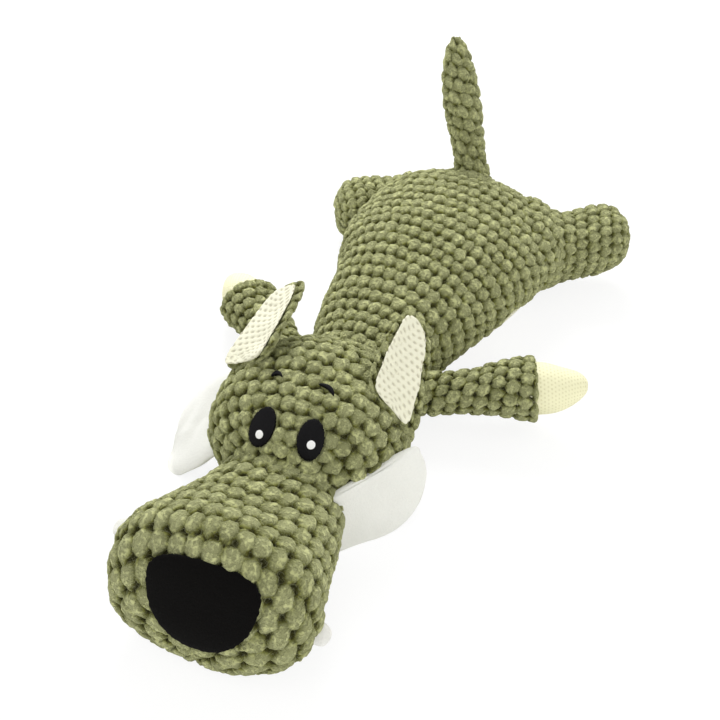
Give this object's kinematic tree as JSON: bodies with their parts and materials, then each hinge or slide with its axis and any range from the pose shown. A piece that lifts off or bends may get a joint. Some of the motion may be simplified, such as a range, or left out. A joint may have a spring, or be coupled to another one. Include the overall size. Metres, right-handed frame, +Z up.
{
  "type": "plush dog toy",
  "caption": "Stuffed plush dog that lies on its belly, with a big flared snout, laid back ears, fleece cheek ruffs, mesh paws, an upright tail and a squeaker in its body.",
  "frame": {"origin": "middle of the flat patch of belly that the toy lies on", "axes": "+Z up, nose towards -Y and tail towards +Y, +X to the dog's left side"},
  "size_m": [0.2656, 0.4436, 0.1574],
  "materials": {
    "bobble_plush": "sage green popcorn plush, velvety bumps",
    "cream_mesh": "cream knitted mesh with small holes",
    "white_fleece": "smooth white short-pile fleece",
    "white_felt": "white felt",
    "black_velour": "matt black velour",
    "black_thread": "black satin stitch embroidery",
    "white_thread": "white satin stitch embroidery",
    "fibre_fill": "loose white polyester fibre",
    "squeaker_plastic": "soft moulded plastic"
  },
  "bodies": {
    "torso": {"body_cover": "bobble_plush", "belly_panel": "cream_mesh", "body_filling_lower": "fibre_fill", "body_filling_upper": "fibre_fill", "squeaker_bladder": "squeaker_plastic", "squeaker_reed": "squeaker_plastic"},
    "head": {"head_cover": "bobble_plush", "snout_cover": "bobble_plush", "head_filling": "fibre_fill", "nose_patch": "black_velour", "eye_left": "black_thread", "eye_right": "black_thread", "eye_glint_left": "white_thread", "eye_glint_right": "white_thread", "brow_left": "black_thread", "brow_right": "black_thread", "tooth_left": "white_felt", "tooth_right": "white_felt"},
    "left_ear": {"ear_back_left": "bobble_plush", "ear_lining_left": "cream_mesh"},
    "right_ear": {"ear_back_right": "bobble_plush", "ear_lining_right": "cream_mesh"},
    "left_ruff": {"cheek_ruff_left": "white_fleece"},
    "right_ruff": {"cheek_ruff_right": "white_fleece"},
    "left_foreleg": {"foreleg_left": "bobble_plush", "forepaw_left": "cream_mesh", "foreleg_left_filling": "fibre_fill"},
    "right_foreleg": {"foreleg_right": "bobble_plush", "forepaw_right": "cream_mesh", "foreleg_right_filling": "fibre_fill"},
    "left_hind_leg": {"hind_leg_left": "bobble_plush", "hind_leg_left_filling": "fibre_fill"},
    "right_hind_leg": {"hind_leg_right": "bobble_plush", "hind_leg_right_filling": "fibre_fill"},
    "tail_limb": {"tail": "bobble_plush", "tail_filling": "fibre_fill"}
  },
  "joints": [
    {"name": "head_nod", "type": "hinge", "parent": "torso", "child": "head", "pos_m": [0, -0.097, 0.027], "axis": [1, 0, 0], "range_deg": [-20, 20], "stiffness_Nm_per_rad": 1},
    {"name": "ear_left_fold", "type": "hinge", "parent": "head", "child": "left_ear", "pos_m": [0.05384, -0.14956, 0.06722], "axis": [0.7337, 0.1083, -0.6708], "range_deg": [-10, 70], "stiffness_Nm_per_rad": 0.02},
    {"name": "ear_right_fold", "type": "hinge", "parent": "head", "child": "right_ear", "pos_m": [-0.02944, -0.16194, 0.07245], "axis": [0.8402, 0.1241, 0.5278], "range_deg": [-10, 70], "stiffness_Nm_per_rad": 0.02},
    {"name": "cheek_ruff_left_flap", "type": "hinge", "parent": "head", "child": "left_ruff", "pos_m": [0.06133, -0.19001, 0.02738], "axis": [0.5378, 0.8171, 0.2079], "range_deg": [-30, 30], "stiffness_Nm_per_rad": 0.03},
    {"name": "cheek_ruff_right_flap", "type": "hinge", "parent": "head", "child": "right_ruff", "pos_m": [-0.04588, -0.17968, 0.02928], "axis": [0.1981, -0.8604, -0.4695], "range_deg": [-30, 30], "stiffness_Nm_per_rad": 0.03},
    {"name": "foreleg_left_swing", "type": "hinge", "parent": "torso", "child": "left_foreleg", "pos_m": [0.04641, -0.09411, 0.02162], "axis": [0, 0, -1], "range_deg": [-18, 40], "stiffness_Nm_per_rad": 0.1},
    {"name": "foreleg_right_swing", "type": "hinge", "parent": "torso", "child": "right_foreleg", "pos_m": [-0.04426, -0.1038, 0.02159], "axis": [0, 0, 1], "range_deg": [-12, 46], "stiffness_Nm_per_rad": 0.1},
    {"name": "hind_leg_left_swing", "type": "hinge", "parent": "torso", "child": "left_hind_leg", "pos_m": [0.06622, 0.09005, 0.03144], "axis": [0, 0, -1], "range_deg": [-26, 86], "stiffness_Nm_per_rad": 0.12},
    {"name": "hind_leg_right_swing", "type": "hinge", "parent": "torso", "child": "right_hind_leg", "pos_m": [-0.06894, 0.08619, 0.02602], "axis": [0, 0, 1], "range_deg": [-104, 8], "stiffness_Nm_per_rad": 0.12},
    {"name": "tail_swing", "type": "hinge", "parent": "torso", "child": "tail_limb", "pos_m": [-0.01158, 0.09288, 0.07592], "axis": [1, 0, 0], "range_deg": [-55, 25], "stiffness_Nm_per_rad": 0.1}
  ]
}
